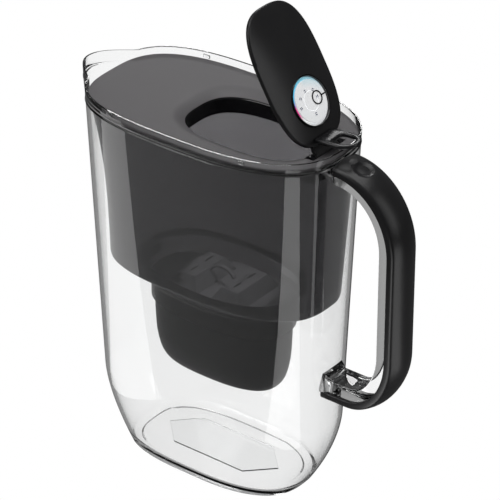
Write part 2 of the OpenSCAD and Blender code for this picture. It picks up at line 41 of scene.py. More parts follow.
RIM_H, RIM_A, RIM_B = 265.0, 94.8, 54.4
BASE_A, BASE_B, DRAFT_A, DRAFT_B = 66.3, 38.2, 7.3, 9.8
BELLY_Z, BELLY_FORM = 56.0, 1.66  # the rounded foot's height and the power of its curve
WALL, RIM_T, LEDGE_D, FLOOR_T = 2.4, 1.3, 8.65, 4.5
LEDGE_Z = RIM_H - LEDGE_D
SQ = (3.08, 2.63)  # squareness of the outlines towards the spout and towards the handle
SPOUT_L, SPOUT_W, SPOUT_Z, SPOUT_RISE, SPOUT_FORM = 17.5, 25.0, 200.0, 55.0, 1.3

GRIP_X, GRIP_TOP, GRIP_BOTTOM, GRIP_T, GRIP_W = 137.7, 251.9, 89.9, 8.2, 10.0
COVER_W, COVER_SIDE, COVER_CROWN = 13.0, 4.6, 7.4
TOP_C, BOTTOM_C = (96.0, 205.0), (108.0, 130.0)  # centres of the handle's two bends, (x, z)
TUCK = 2.0  # how far the clear grip stands into the cover

HX, HZ = 79.5, 258.0  # the hinge's axis
OPEN = math.radians(59.1)
STEPS = 224  # points of an outline


def clamp(t, lo=0.0, hi=1.0):
    return max(lo, min(hi, t))


def lerp(a, b, t):
    return a + (b - a) * t


def smooth(t):
    t = clamp(t)
    return t * t * (3 - 2 * t)


def unit(u, n):
    """The point of a unit superellipse of power n in the direction u."""
    c, s = math.cos(u), math.sin(u)
    r = (abs(c) ** n + abs(s) ** n) ** (-1 / n)
    return c * r, s * r


def ring(a1, a2, b, z, n=SQ, steps=STEPS, x=0.0):
    """A closed superellipse outline at height z, in millimetres."""
    out = []
    for i in range(steps):
        u = 2 * math.pi * i / steps
        back = math.cos(u) < 0
        px, py = unit(u, n[0] if back else n[1])
        out.append((x + px * (a1 if back else a2), py * b, z))
    return out


def finish_mesh(name, bm, sharp=35.0):
    """Turns a bmesh into an object, smooth but for edges sharper than the angle."""
    bmesh.ops.recalc_face_normals(bm, faces=bm.faces)
    me = bpy.data.meshes.new(name)
    bm.to_mesh(me)
    bm.free()
    for p in me.polygons:
        p.use_smooth = True
    me.set_sharp_from_angle(angle=math.radians(sharp))
    ob = bpy.data.objects.new(name, me)
    bpy.context.scene.collection.objects.link(ob)
    return ob


def loft(name, rings, closed=False, sharp=35.0, place=None):
    """Joins outlines of one length into a solid skin; closed joins the last outline to the first."""
    bm = bmesh.new()
    rows = []
    for r in rings:
        row = []
        for p in r:
            v = Vector(p)
            if place is not None:
                v = place @ v
            row.append(bm.verts.new(v / 1000))
        rows.append(row)
    n = len(rows[0])
    m = len(rows)
    for j in range(m if closed else m - 1):
        a, b = rows[j], rows[(j + 1) % m]
        for i in range(n):
            k = (i + 1) % n
            bm.faces.new((a[i], a[k], b[k], b[i]))
    if not closed:
        bm.faces.new(rows[0])
        bm.faces.new(list(reversed(rows[-1])))
    return finish_mesh(name, bm, sharp)


def cut(ob, cutters, sharp=35.0):
    """Takes the cutters out of the object and leaves a plain mesh."""
    for c in cutters:
        mod = ob.modifiers.new("cut", "BOOLEAN")
        mod.operation = "DIFFERENCE"
        mod.solver = "EXACT"
        mod.object = c
    bpy.context.view_layer.update()
    dg = bpy.context.evaluated_depsgraph_get()
    me = bpy.data.meshes.new_from_object(ob.evaluated_get(dg))
    ob.modifiers.clear()
    ob.data = me
    for p in me.polygons:
        p.use_smooth = True
    me.set_sharp_from_angle(angle=math.radians(sharp))
    for c in cutters:
        bpy.data.objects.remove(c)
    return ob


def block(name, lo, hi, bevel=0.0, place=None):
    """A box between two corners, in millimetres."""
    bm = bmesh.new()
    bmesh.ops.create_cube(bm, size=1.0)
    for v in bm.verts:
        for k in range(3):
            v.co[k] = lerp(lo[k], hi[k], v.co[k] + 0.5)
    if bevel > 0:
        bmesh.ops.bevel(bm, geom=list(bm.edges), offset=bevel, segments=3, affect="EDGES", profile=0.5)
    for v in bm.verts:
        if place is not None:
            v.co = place @ v.co
        v.co = v.co / 1000
    return finish_mesh(name, bm, 40.0)


def turned(name, profile, place, steps=96, sharp=30.0):
    """Spins a closed profile of (radius, height) about the local Z axis."""
    rings = []
    for r, h in profile:
        rings.append([(r * math.cos(2 * math.pi * i / steps), r * math.sin(2 * math.pi * i / steps), h)
                      for i in range(steps)])
    return loft(name, rings, closed=True, sharp=sharp, place=place)


# From the flip lid's closed place to where it stands in the frame
SWING = (Matrix.Translation(Vector((HX, 0, HZ))) @ Matrix.Rotation(OPEN, 4, "Y")
         @ Matrix.Translation(Vector((-HX, 0, -HZ))))


# Materials

def material(name):
    mat = bpy.data.materials.new(name)
    mat.use_nodes = True
    nt = mat.node_tree
    bsdf = nt.nodes["Principled BSDF"]
    return mat, nt, bsdf


def noise(nt, scale, detail):
    tc = nt.nodes.new("ShaderNodeTexCoord")
    nz = nt.nodes.new("ShaderNodeTexNoise")
    nz.inputs["Scale"].default_value = scale
    nz.inputs["Detail"].default_value = detail
    nt.links.new(tc.outputs["Object"], nz.inputs["Vector"])
    return nz


def ramp(nt, src, stops):
    """A colour ramp with the given (position, colour) stops."""
    cr = nt.nodes.new("ShaderNodeValToRGB")
    el = cr.color_ramp.elements
    while len(el) > 1:
        el.remove(el[-1])
    el[0].position, el[0].color = stops[0][0], (*stops[0][1], 1)
    for p, c in stops[1:]:
        e = el.new(p)
        e.color = (*c, 1)
    nt.links.new(src, cr.inputs["Fac"])
    return cr


def bump(nt, bsdf, src, strength, distance):
    b = nt.nodes.new("ShaderNodeBump")
    b.inputs["Strength"].default_value = strength
    b.inputs["Distance"].default_value = distance
    nt.links.new(src, b.inputs["Height"])
    nt.links.new(b.outputs["Normal"], bsdf.inputs["Normal"])


def math_node(nt, operation, a, b):
    """The result of a math node on two numbers or sockets."""
    node = nt.nodes.new("ShaderNodeMath")
    node.operation = operation
    for socket, value in zip(node.inputs, (a, b)):
        if isinstance(value, float):
            socket.default_value = value
        else:
            nt.links.new(value, socket)
    return node.outputs["Value"]


def mix_shader(nt, share, low, high):
    """The low shader where share is 0, the high one where it is 1."""
    mix = nt.nodes.new("ShaderNodeMixShader")
    if isinstance(share, float):
        mix.inputs["Fac"].default_value = share
    else:
        nt.links.new(share, mix.inputs["Fac"])
    nt.links.new(low, mix.inputs[1])
    nt.links.new(high, mix.inputs[2])
    return mix.outputs["Shader"]


GRAIN_DEPTH = 0.00004


def plastic(name, dark, light, rough, grain=900.0, grain_strength=0.25, spread=0.05, specular=0.5):
    """Moulded plastic: a fine spark texture, slight clouding of the colour and of the gloss."""
    mat, nt, bsdf = material(name)
    cloud = noise(nt, 22.0, 3.0)
    c = ramp(nt, cloud.outputs["Fac"], [(0.3, dark), (0.7, light)])
    nt.links.new(c.outputs["Color"], bsdf.inputs["Base Color"])
    fine = noise(nt, grain, 2.0)
    rr = nt.nodes.new("ShaderNodeMapRange")
    rr.inputs["To Min"].default_value = rough - spread
    rr.inputs["To Max"].default_value = rough + spread
    nt.links.new(cloud.outputs["Fac"], rr.inputs["Value"])
    nt.links.new(rr.outputs["Result"], bsdf.inputs["Roughness"])
    bsdf.inputs["Specular IOR Level"].default_value = specular
    if grain_strength > 0:
        bump(nt, bsdf, fine.outputs["Fac"], grain_strength, GRAIN_DEPTH)
    return mat


def see_through(name, tint_a, tint_b, body=None, body_mix=0.0, ior=1.5):
    """Clear or tinted plastic: refracting, with a faint ripple from the mould and a share of solid body."""
    mat, nt, bsdf = material(name)
    cloud = noise(nt, 9.0, 2.0)
    c = ramp(nt, cloud.outputs["Fac"], [(0.35, tint_a), (0.65, tint_b)])
    nt.links.new(c.outputs["Color"], bsdf.inputs["Base Color"])
    bsdf.inputs["Roughness"].default_value = 0.0
    bsdf.inputs["IOR"].default_value = ior
    bsdf.inputs["Transmission Weight"].default_value = 1.0
    bump(nt, bsdf, cloud.outputs["Fac"], 0.12, 0.0006)
    if body is not None:
        solid = nt.nodes.new("ShaderNodeBsdfPrincipled")
        solid.inputs["Base Color"].default_value = (*body, 1)
        solid.inputs["Roughness"].default_value = 0.22
        mixed = mix_shader(nt, body_mix, bsdf.outputs["BSDF"], solid.outputs["BSDF"])
        nt.links.new(mixed, nt.nodes["Material Output"].inputs["Surface"])
    return mat


M_CLEAR = see_through("clear_plastic", (0.982, 0.985, 0.985), (0.992, 0.994, 0.994))
M_SMOKE = see_through("smoke_plastic", (0.205, 0.2, 0.21), (0.24, 0.235, 0.245),
                      body=(0.05, 0.0485, 0.052), body_mix=0.22, ior=1.3)
M_SATIN = plastic("black_satin_plastic", (0.012, 0.0118, 0.0125), (0.017, 0.0167, 0.0175), 0.31,
                  specular=0.42)
M_LEVER = plastic("black_polished_plastic", (0.01, 0.01, 0.011), (0.014, 0.014, 0.015), 0.26, specular=0.4)
M_GLOSS = plastic("black_gloss_plastic", (0.006, 0.006, 0.007), (0.009, 0.009, 0.01), 0.12,
                  grain_strength=0.0, spread=0.02)
M_MATTE = plastic("grey_matte_plastic", (0.098, 0.094, 0.098), (0.106, 0.102, 0.106), 0.5,
                  grain=1300.0, grain_strength=0.35, specular=0.28)
M_GREY = plastic("grey_plastic", (0.56, 0.56, 0.57), (0.62, 0.62, 0.63), 0.45)
M_CART = plastic("cartridge_black_plastic", (0.012, 0.012, 0.013), (0.017, 0.017, 0.018), 0.35, specular=0.25)
M_RUBBER = plastic("seal_rubber", (0.015, 0.015, 0.015), (0.022, 0.022, 0.022), 0.6)
M_STEEL = plastic("steel", (0.5, 0.5, 0.51), (0.6, 0.6, 0.61), 0.28, grain=400.0)
M_STEEL.node_tree.nodes["Principled BSDF"].inputs["Metallic"].default_value = 1.0
M_MESH = plastic("mesh_white", (0.7, 0.7, 0.68), (0.82, 0.82, 0.8), 0.8, grain=1800.0, grain_strength=0.8)


def granules():
    """The filter's black carbon, with some resin beads in it."""
    mat, nt, bsdf = material("granules")
    tc = nt.nodes.new("ShaderNodeTexCoord")
    vo = nt.nodes.new("ShaderNodeTexVoronoi")
    vo.inputs["Scale"].default_value = 900.0
    nt.links.new(tc.outputs["Object"], vo.inputs["Vector"])
    c = ramp(nt, vo.outputs["Color"],
             [(0.0, (0.02, 0.018, 0.016)), (0.7, (0.05, 0.045, 0.04)), (0.8, (0.5, 0.4, 0.2))])
    nt.links.new(c.outputs["Color"], bsdf.inputs["Base Color"])
    bsdf.inputs["Roughness"].default_value = 0.7
    bump(nt, bsdf, vo.outputs["Distance"], 1.0, 0.0005)
    return mat


M_GRANULES = granules()


def show(ob, body, mat, slot, *nodes):
    """Gives a piece its material and the body it rides on, and hides the CAD nodes it stands for; slot is not
    used.
    """
    ob.data.materials.clear()
    ob.data.materials.append(mat)
    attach(ob, body)
    if nodes:
        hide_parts(*nodes)


# The jug

def belly(z):
    """How far the rounded foot has opened at height z, from 0 to 1."""
    return 1 - (1 - clamp(z / BELLY_Z)) ** BELLY_FORM


def jug_a(z):
    if z < BELLY_Z:
        return lerp(BASE_A, RIM_A - DRAFT_A, belly(z))
    return lerp(RIM_A - DRAFT_A, RIM_A, (z - BELLY_Z) / (RIM_H - BELLY_Z))


def jug_b(z):
    if z < BELLY_Z:
        return lerp(BASE_B, RIM_B - DRAFT_B, belly(z))
    return lerp(RIM_B - DRAFT_B, RIM_B, (z - BELLY_Z) / (RIM_H - BELLY_Z))


def beak(x, y, z):
    """How far the spout stands out of the wall at a point of it."""
    if x >= 0 or abs(y) >= SPOUT_W:
        return 0.0
    return SPOUT_L * smooth((z - SPOUT_Z) / SPOUT_RISE) * (1 - (y / SPOUT_W) ** 2) ** SPOUT_FORM


def jug_ring(z, t=0.0):
    return [(x - beak(x, y, z), y, zz)
            for x, y, zz in ring(jug_a(z) - t, jug_a(z) - t, jug_b(z) - t, z)]


def levels(lo, hi, count):
    return [lerp(lo, hi, k / count) for k in range(count + 1)]


outside = (levels(1.0, BELLY_Z, 20) + levels(BELLY_Z, SPOUT_Z, 10)[1:]
           + levels(SPOUT_Z, LEDGE_Z - 0.6, 14)[1:])
inside = [z for z in outside if z > FLOOR_T + 2.6]
jug = loft("jug_shell", (
    [ring(BASE_A - 7.6, BASE_A - 7.6, BASE_B - 7.6, 1.25),
     ring(BASE_A - 7.2, BASE_A - 7.2, BASE_B - 7.2, 1.2),
     ring(BASE_A - 6.0, BASE_A - 6.0, BASE_B - 6.0, 0.02),
     ring(BASE_A - 5.6, BASE_A - 5.6, BASE_B - 5.6, 0.0),
     jug_ring(0.0, 1.4), jug_ring(0.12, 0.7), jug_ring(0.45, 0.25)]
    + [jug_ring(z) for z in outside]
    + [jug_ring(LEDGE_Z - 0.35, -0.22), jug_ring(LEDGE_Z, -0.33), jug_ring(LEDGE_Z + 0.3, -0.18),
       jug_ring(LEDGE_Z + 0.6), jug_ring(LEDGE_Z + 3.0), jug_ring(RIM_H - 0.5), jug_ring(RIM_H - 0.12, 0.06),
       jug_ring(RIM_H, 0.22), jug_ring(RIM_H, RIM_T - 0.22), jug_ring(RIM_H - 0.12, RIM_T - 0.06),
       jug_ring(RIM_H - 0.5, RIM_T), jug_ring(LEDGE_Z + 0.4, RIM_T), jug_ring(LEDGE_Z + 0.1, RIM_T + 0.12),
       jug_ring(LEDGE_Z, RIM_T + 0.35), jug_ring(LEDGE_Z, WALL - 0.3), jug_ring(LEDGE_Z - 0.3, WALL)]
    + [jug_ring(z, WALL) for z in reversed(inside)]
    + [jug_ring(FLOOR_T + 2.4, WALL), jug_ring(FLOOR_T + 1.2, WALL + 0.35),
       jug_ring(FLOOR_T + 0.5, WALL + 1.0), jug_ring(FLOOR_T + 0.1, WALL + 2.0),
       jug_ring(FLOOR_T, WALL + 3.2)]))
show(jug, "jug", M_CLEAR, "clear_plastic", "jug_body")


def joint_r(c):
    """The two radii of the handle's bend about c."""
    return GRIP_X - c[0], (GRIP_TOP - c[1]) if c is TOP_C else (c[1] - GRIP_BOTTOM)


def arc_point(c, t, off):
    """A point of the bend about c, at the angle t, moved outwards by off."""
    rx, rz = joint_r(c)
    nx, nz = math.cos(t) / rx, math.sin(t) / rz
    k = off / math.hypot(nx, nz)
    return c[0] + rx * math.cos(t) + nx * k, c[1] + rz * math.sin(t) + nz * k


def joint_path(x_top, x_bottom, off, arc, ends):
    """The line between cover and clear grip, from the top end to the bottom end."""
    pts = [(lerp(x_top, TOP_C[0], k / ends), GRIP_TOP + off) for k in range(ends)]
    pts += [arc_point(TOP_C, math.radians(90 - 90 * k / arc), off) for k in range(arc + 1)]
    pts += [arc_point(BOTTOM_C, math.radians(-90 * k / arc), off) for k in range(arc + 1)]
    pts += [(lerp(BOTTOM_C[0], x_bottom, (k + 1) / ends), GRIP_BOTTOM - off) for k in range(ends)]
    return pts


def sweep(name, section, x_top, x_bottom, press=None, arc=24, ends=6):
    """Carries a closed section of (outward offset, y) along the handle's joint line."""
    base = joint_path(x_top, x_bottom, 0.0, arc, ends)
    lifted = joint_path(x_top, x_bottom, 1.0, arc, ends)
    rings = []
    for (bx, bz), (lx, lz) in zip(base, lifted):
        row = []
        for s, y in section:
            p = (bx + s * (lx - bx), y, bz + s * (lz - bz))
            row.append(press(p, (lx - bx, lz - bz), s) if press else p)
        rings.append(row)
    return loft(name, rings)


def rounded_box(y, lo, hi, r, arc=5):
    """A section of (offset, y) from -y to y and from lo to hi, with corners of radius r."""
    pts = []
    for cy, cz, a0 in ((y - r, hi - r, 0), (-(y - r), hi - r, 90),
                       (-(y - r), lo + r, 180), (y - r, lo + r, 270)):
        for k in range(arc + 1):
            a = math.radians(a0 + 90 * k / arc)
            pts.append((cz + r * math.sin(a), cy + r * math.cos(a)))
    return pts


PANEL_A, PANEL_B, PANEL_H = 46, 17, 0.8
CORNER_X, CORNER_Y = 51.64, 22.64  # centres of the squares that take the panel's corners off
panel = block("floor_panel", (-PANEL_A, -PANEL_B, FLOOR_T - 0.3), (PANEL_A, PANEL_B, FLOOR_T + PANEL_H))
quarter = Matrix.Rotation(math.radians(45), 4, "Z")
cut(panel, [block("corner", (-20, -20, -5), (20, 20, 15),
                  place=Matrix.Translation(Vector((sx * CORNER_X, sy * CORNER_Y, 0))) @ quarter)
            for sx in (-1, 1) for sy in (-1, 1)])
show(panel, "jug", M_CLEAR, "clear_plastic", "jug_body")

CATCH_X, CATCH_Z = (-53.0, 51.4), RIM_H - 4.0
for x in CATCH_X:
    z = CATCH_Z
    n = SQ[0] if x < 0 else SQ[1]
    y = (jug_b(z) - RIM_T) * (1 - (abs(x) / (jug_a(z) - RIM_T)) ** n) ** (1 / n)
    for side in (-1, 1):
        ys = sorted((side * (y - 0.3), side * (y + 0.6)))
        tab = block("rim_catch", (x - 2.5, ys[0], z), (x + 2.5, ys[1], z + 2.2), 0.12)
        show(tab, "jug", M_CLEAR, "clear_plastic", "jug_body")

ROOT_X, ROOT_W, ROOT_H = (88.4, 96.0), (14.0, GRIP_W), (12.0, GRIP_T)  # at the jug's wall, at the grip
ROOT_OUTLINE = ((-1, 0), (1, 0), (0.98, 0.3), (0.72, 1), (-0.72, 1), (-0.98, 0.3))
root_rows = []
for k in range(9):
    t = smooth(k / 8)
    w, h = lerp(*ROOT_W, t), lerp(*ROOT_H, t)
    root_rows.append([(lerp(*ROOT_X, k / 8), w * u, GRIP_BOTTOM + (h * v if v else 0.3))
                      for u, v in ROOT_OUTLINE])
root = loft("grip_root", root_rows)
show(root, "jug", M_CLEAR, "clear_plastic", "jug_body")

# The ends of the two sweeps stand in the jug's wall
grip = sweep("clear_grip", rounded_box(GRIP_W, -GRIP_T, TUCK, 1.1), 93.2, 88.2)
show(grip, "jug", M_CLEAR, "clear_plastic", "jug_body")

COVER_EDGE, EDGE_DROP = 1.6, 1.5  # the rounded edge's width and depth
cover_section = []
for k in range(-12, 13):
    t = k / 12
    y = COVER_W * math.copysign(1 - (1 - abs(t)) ** 1.6, t)
    s = COVER_SIDE + (COVER_CROWN - COVER_SIDE) * (1 - (y / COVER_W) ** 2)
    edge = clamp((abs(y) - (COVER_W - COVER_EDGE)) / COVER_EDGE)
    s -= EDGE_DROP * (1 - math.sqrt(max(0.0, 1 - edge * edge)))
    cover_section.append((s, y))
inner = GRIP_W + 0.25
cover_section += [(0.25, COVER_W), (0.0, COVER_W - 0.25), (0.0, inner)]
cover_section += [(TUCK + 0.25, inner - 0.3), (TUCK + 0.25, -(inner - 0.3))]
cover_section += [(0.0, -inner), (0.0, -(COVER_W - 0.25)), (0.25, -COVER_W)]
DIMPLE_X, DIMPLE_A, DIMPLE_B, DIMPLE_D, DIMPLE_MIN_Z = 110.2, 5.6, 6.6, 1.5, 240


def dimple(p, normal, s):
    """Sinks the thumb's dimple into the top of the cover."""
    if s < COVER_SIDE or p[2] < DIMPLE_MIN_Z:
        return p
    d = math.hypot((p[0] - DIMPLE_X) / DIMPLE_A, p[1] / DIMPLE_B)
    k = DIMPLE_D * (1 - smooth((d - 0.86) / 0.22))
    return p[0] - normal[0] * k, p[1], p[2] - normal[1] * k


cover = sweep("black_cover", cover_section, 95.3, 88.9, press=dimple, arc=48, ends=16)
show(cover, "jug", M_SATIN, "black_satin_plastic", "handle_cover")

# The funnel

FUNNEL_Z, FUNNEL_T, COLLAR_Z, SEAT_Z, COLLAR_T = 143.0, 2.0, 115.0, 129.6, 1.5
FUNNEL_A1, FUNNEL_A2, FUNNEL_B = 79.0, 83.5, 44.6  # at the floor: spout side, handle side, half width
FUNNEL_FORM = 3.2  # power of the curve in which the wall leans out towards the spout
FLANGE_T, FLANGE_GAP = 1.6, 0.45
FUNNEL_TOP = LEDGE_Z - 0.4
MOUTH_GAP = 0.6
MOUTH_A = jug_a(FUNNEL_TOP) - WALL - MOUTH_GAP
MOUTH_B = jug_b(FUNNEL_TOP) - WALL - MOUTH_GAP
CART_A, CART_B, CART_Z = 51.0, 26.8, 69.0
CAP_A, CAP_B = CART_A + 1.6, CART_B + 2.0
CART_GAP = 0.5
SEAT_A, SEAT_B = CAP_A + CART_GAP, CAP_B + CART_GAP
BORE_A, BORE_B = CART_A + CART_GAP, CART_B + CART_GAP


def funnel_ring(z, t=0.0):
    """The funnel's wall at height z, drawn t inside its outer face."""
    u = clamp((z - FUNNEL_Z) / (FUNNEL_TOP - FUNNEL_Z))
    return ring(lerp(FUNNEL_A1, MOUTH_A, u ** FUNNEL_FORM) - t, lerp(FUNNEL_A2, MOUTH_A, u) - t,
                lerp(FUNNEL_B, MOUTH_B, u) - t, z)


def oval(a, b, z, steps=STEPS):
    return ring(a, a, b, z, (2.5, 2.5), steps)


FLANGE_Z = LEDGE_Z + 0.3
FL_A = jug_a(FLANGE_Z) - RIM_T - FLANGE_GAP
FL_B = jug_b(FLANGE_Z) - RIM_T - FLANGE_GAP
up = levels(FUNNEL_Z + 4.0, FUNNEL_TOP, 16)
funnel = loft("funnel_hopper", (
    [oval(BORE_A, BORE_B, COLLAR_Z + 0.3), oval(BORE_A + 0.3, BORE_B + 0.3, COLLAR_Z),
     oval(BORE_A + COLLAR_T - 0.3, BORE_B + COLLAR_T - 0.3, COLLAR_Z),
     oval(BORE_A + COLLAR_T, BORE_B + COLLAR_T, COLLAR_Z + 0.3),
     oval(BORE_A + COLLAR_T, BORE_B + COLLAR_T, SEAT_Z - FUNNEL_T),
     oval(SEAT_A + FUNNEL_T - 0.4, SEAT_B + FUNNEL_T - 0.4, SEAT_Z - 0.4),
     oval(SEAT_A + FUNNEL_T, SEAT_B + FUNNEL_T, SEAT_Z + 0.3),
     oval(SEAT_A + FUNNEL_T, SEAT_B + FUNNEL_T, FUNNEL_Z - 0.3),
     oval(SEAT_A + FUNNEL_T + 0.4, SEAT_B + FUNNEL_T + 0.4, FUNNEL_Z)]
    + [funnel_ring(FUNNEL_Z, 7.5), funnel_ring(FUNNEL_Z, 4.0), funnel_ring(FUNNEL_Z + 0.35, 2.4),
       funnel_ring(FUNNEL_Z + 1.0, 1.3), funnel_ring(FUNNEL_Z + 2.1, 0.45)]
    + [funnel_ring(z) for z in up]
    + [ring(FL_A - 0.2, FL_A - 0.2, FL_B - 0.2, FLANGE_Z), ring(FL_A, FL_A, FL_B, FLANGE_Z + 0.2),
       ring(FL_A, FL_A, FL_B, FLANGE_Z + FLANGE_T - 0.2),
       ring(FL_A - 0.2, FL_A - 0.2, FL_B - 0.2, FLANGE_Z + FLANGE_T),
       funnel_ring(FLANGE_Z + FLANGE_T, FUNNEL_T - 0.3), funnel_ring(FLANGE_Z + FLANGE_T - 0.3, FUNNEL_T)]
    + [funnel_ring(z, FUNNEL_T) for z in reversed(up)]
    + [funnel_ring(FUNNEL_Z + 2.9, FUNNEL_T + 1.2), funnel_ring(FUNNEL_Z + 2.3, FUNNEL_T + 3.2),
       funnel_ring(FUNNEL_Z + 2.2, 7.5), oval(62.0, 36.5, FUNNEL_Z + 2.2), oval(61.0, 35.6, FUNNEL_Z + 1.7),
       oval(SEAT_A + 0.8, SEAT_B + 0.8, SEAT_Z + 4.2), oval(SEAT_A, SEAT_B, SEAT_Z + 3.4),
       oval(SEAT_A, SEAT_B, SEAT_Z), oval(BORE_A, BORE_B, SEAT_Z)]), closed=True)
show(funnel, "funnel", M_SMOKE, "smoke_plastic", "funnel")

# The cartridge

CAP_Z = SEAT_Z + 1.3
# Height above the cartridge's foot, and how far the wall stands in there
CART_IN = [(0.0, 8.5), (0.6, 7.4), (1.6, 6.4), (3.0, 5.5), (5.5, 4.3), (9.0, 3.2), (14.0, 2.1), (20.0, 1.2),
           (28.0, 0.7), (36.0, 0.4), (48.0, 0.15)]


def cart_ring(z, cut_in):
    return oval(CART_A - cut_in, CART_B - cut_in, z, 128)


body = loft("cartridge_cup", [cart_ring(CART_Z + h, c) for h, c in CART_IN] + [cart_ring(CAP_Z - 0.15, 0.0)])
show(body, "cartridge", M_CART, "black_satin_plastic", "cartridge_body")


HUMP_X, HUMP_Z, HUMP_TOP, HUMP_FOOT = 17.5, 142.0, (13.5, 31.0), (25.0, 43.0)
SLOT_W, SLOT_L, SLOT_Y, SLOT_Z = 1.3, 7.5, 7.6, 139.0


def wedge(x):
    """One of the two humps on the cartridge's cap."""
    bm = bmesh.new()
    pts = []
    for (w, d), z in ((HUMP_FOOT, CAP_Z), (HUMP_FOOT, CAP_Z + 1.0), (HUMP_TOP, HUMP_Z)):
        pts.append([bm.verts.new((x + sx * w / 2, sy * d / 2, z))
                    for sx, sy in ((-1, -1), (1, -1), (1, 1), (-1, 1))])
    for a, b in zip(pts, pts[1:]):
        for i in range(4):
            bm.faces.new((a[i], a[(i + 1) % 4], b[(i + 1) % 4], b[i]))
    bm.faces.new(list(reversed(pts[0])))
    bm.faces.new(pts[-1])
    bmesh.ops.bevel(bm, geom=list(bm.edges), offset=1.0, segments=4, affect="EDGES", profile=0.5,
                    clamp_overlap=True)
    for v in bm.verts:
        v.co = v.co / 1000
    return finish_mesh("hump", bm, 40.0)


cap = loft("cap_plate", [oval(CAP_A, CAP_B, CAP_Z, 128), oval(CAP_A, CAP_B, CAP_Z + 1.1, 128),
                         oval(CAP_A - 0.4, CAP_B - 0.4, CAP_Z + 1.5, 128)])
show(cap, "cartridge", M_GREY, "grey_plastic", "cartridge_cap")
for side in (-1, 1):
    x = side * HUMP_X
    h = wedge(x)
    cut(h, [block("slot", (x - SLOT_W / 2, y - SLOT_L / 2, SLOT_Z),
                  (x + SLOT_W / 2, y + SLOT_L / 2, HUMP_Z + 2)) for y in (-SLOT_Y, SLOT_Y)])
    h.name = "cap_hump"
    show(h, "cartridge", M_GREY, "grey_plastic", "cartridge_cap")

PULL_R, PULL_Z, PULL_W, PULL_T = 10.7, 135.2, 3.0, 1.4
pull_rings = []
for k in range(33):
    a = math.radians(180 * k / 32)
    row = []
    for s, y in rounded_box(PULL_W / 2, -PULL_T / 2, PULL_T / 2, 0.35, 3):
        row.append(((PULL_R + s) * math.cos(a), y, PULL_Z + (PULL_R + s) * math.sin(a)))
    pull_rings.append(row)
pull = loft("pull_strap", pull_rings)
show(pull, "cartridge", M_GREY, "grey_plastic", "cartridge_pull")

# The lid

PLATE_Z, PLATE_T, PLATE_GAP = RIM_H - 4.4, 2.1, 1.95
UNDER = PLATE_Z - PLATE_T
OPEN_A, OPEN_B, OPEN_X, OPEN_N = 47.25, 30.2, 26.45, 2.9
DISH_THIN, DISH_SPREAD = 0.62, 1.1  # how the underside follows the dish: less deep, and wider
# Stations of the dish around the opening: distance from its edge, and depth
DISH = [(9.6, 0.0), (8.5, 0.03), (7.4, 0.16), (6.3, 0.42), (5.2, 0.82), (4.1, 1.33), (3.1, 1.9), (2.1, 2.55),
        (1.2, 3.2), (0.6, 3.65), (0.3, 4.0)]


def hatch(t, z):
    """The opening's outline, t outside its edge."""
    return ring(OPEN_A + t, OPEN_A + t, OPEN_B + t, z, (OPEN_N, OPEN_N), STEPS, OPEN_X)


def under_dish(k, t):
    """The underside of the dish at its station k, lowered by t."""
    out, down = DISH[k]
    return hatch(out + DISH_SPREAD * k / (len(DISH) - 1), UNDER - down * DISH_THIN - t)


def plate_ring(t, z):
    a, b = RIM_A - PLATE_GAP - t, RIM_B - PLATE_GAP - t
    return ring(a, a, b, z)


plate = loft("lid_top_plate", (
    [plate_ring(0.2, UNDER), plate_ring(0.0, UNDER + 0.2), plate_ring(0.0, PLATE_Z - 0.5),
     plate_ring(0.15, PLATE_Z - 0.15), plate_ring(0.5, PLATE_Z), plate_ring(1.2, PLATE_Z)]
    + [hatch(t, PLATE_Z - d) for t, d in DISH]
    + [under_dish(k, 0) for k in reversed(range(len(DISH)))]), closed=True, sharp=50.0)
WELL_X, WELL_W = (74.6, 83.6), 17.0
NOTCH_X, NOTCH_W = WELL_X[1] - 1, 13.4


def well_cutters(bottom, notch_bottom):
    """The hinge's well, and the notch that lets the flip lid's barrel into it."""
    return [block("well", (WELL_X[0], -WELL_W, bottom), (WELL_X[1], WELL_W, 300)),
            block("notch", (OPEN_X, -NOTCH_W, notch_bottom), (NOTCH_X, NOTCH_W, 300))]


cut(plate, well_cutters(240, 250), 40.0)
show(plate, "lid", M_MATTE, "grey_matte_plastic", "lid_plate")

FRAME_GAP, FRAME_T, SKIRT_GAP = 0.1, 1.5, 0.5
WEB = UNDER - FRAME_GAP
SKIRT_Z, CHUTE_Z = RIM_H - 12.5, 245.2


def skirt(t, z):
    return funnel_ring(z, FUNNEL_T + SKIRT_GAP + t)


STATIONS = (1, 4, 6, 8, 10)  # the dish's stations that the frame follows
THROAT = under_dish(STATIONS[-1], FRAME_GAP)[0][2]
lid_frame = loft("lid_under_frame", (
    [skirt(0, SKIRT_Z + 0.3), skirt(0, WEB)] + [under_dish(k, FRAME_GAP) for k in STATIONS]
    + [hatch(0.3, THROAT), hatch(0, THROAT - 0.3), hatch(0, CHUTE_Z + 0.4), hatch(0.4, CHUTE_Z),
       hatch(FRAME_T - 0.4, CHUTE_Z), hatch(FRAME_T, CHUTE_Z + 0.4)]
    + [under_dish(k, FRAME_GAP + FRAME_T) for k in reversed(STATIONS)]
    + [skirt(FRAME_T, WEB - FRAME_T), skirt(FRAME_T, SKIRT_Z + 0.3), skirt(FRAME_T - 0.3, SKIRT_Z),
       skirt(0.3, SKIRT_Z)]), closed=True)
cut(lid_frame, well_cutters(240, 255))
show(lid_frame, "lid", M_GLOSS, "black_gloss_plastic", "lid_frame")
WELL_Z, WELL_FLOOR = 245.5, 247
well = block("hinge_well", (WELL_X[0] - FRAME_T, -WELL_W - FRAME_T, WELL_Z),
             (WELL_X[1] + FRAME_T, WELL_W + FRAME_T, WEB), 0.6)
cut(well, well_cutters(WELL_FLOOR, 255))
show(well, "lid", M_GLOSS, "black_gloss_plastic", "lid_frame")
LUG_Y, LUG_R, LUG_T, LUG_Z = 14.0, 3.6, 3.2, 246.6
